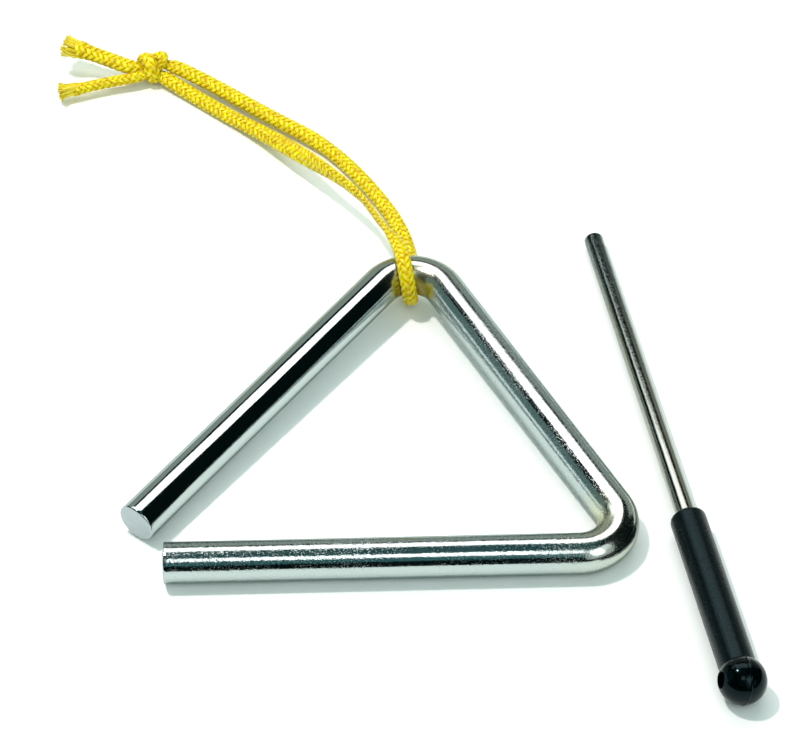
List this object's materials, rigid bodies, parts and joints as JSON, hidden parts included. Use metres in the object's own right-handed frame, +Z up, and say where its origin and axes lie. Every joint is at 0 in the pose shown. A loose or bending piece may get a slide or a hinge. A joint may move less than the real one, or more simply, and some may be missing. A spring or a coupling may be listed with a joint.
{
  "type": "triangle instrument",
  "caption": "Triangle of bent round steel bar, open at one corner, with a knotted braided cord looped round its top bend and a separate rod beater with a sleeve grip and ball end.",
  "frame": {"origin": "on the table, in the middle of the footprint of the triangle and the beater as they lie", "axes": "+Z up from the table, +X along the triangle's bottom arm to the right, +Y away from the player"},
  "size_m": [0.1724, 0.2395, 0.018],
  "materials": {
    "plated_bar": "bright nickel-chrome plate on drawn steel bar, finely pitted, saw-cut satin ends",
    "cord_braid": "soft round braid of bright yellow synthetic yarn",
    "plated_rod": "bright plated steel rod, lightly scuffed",
    "grip_sleeve": "satin black extruded sleeve",
    "ball_end": "polished black moulded ball with a parting line"
  },
  "bodies": {
    "triangle": {"triangle_bar": "plated_bar"},
    "cord": {"cord_bight": "cord_braid", "cord_strand_over": "cord_braid", "cord_strand_under": "cord_braid", "cord_knot": "cord_braid", "cord_tail_upper": "cord_braid", "cord_tail_lower": "cord_braid"},
    "beater": {"beater_rod": "plated_rod", "beater_grip": "grip_sleeve", "beater_ball": "ball_end"}
  },
  "joints": [
    {"name": "cord_swing", "type": "hinge", "parent": "triangle", "child": "cord", "pos_m": [-0.0036, 0.05959, 0.00904], "axis": [0.9938, 0.1114, 0.0048], "range_deg": [0, 150]},
    {"name": "beater_lift", "type": "slide", "parent": "triangle", "child": "beater", "axis": [0, 0, 1], "range_m": [0, 0.15]}
  ]
}
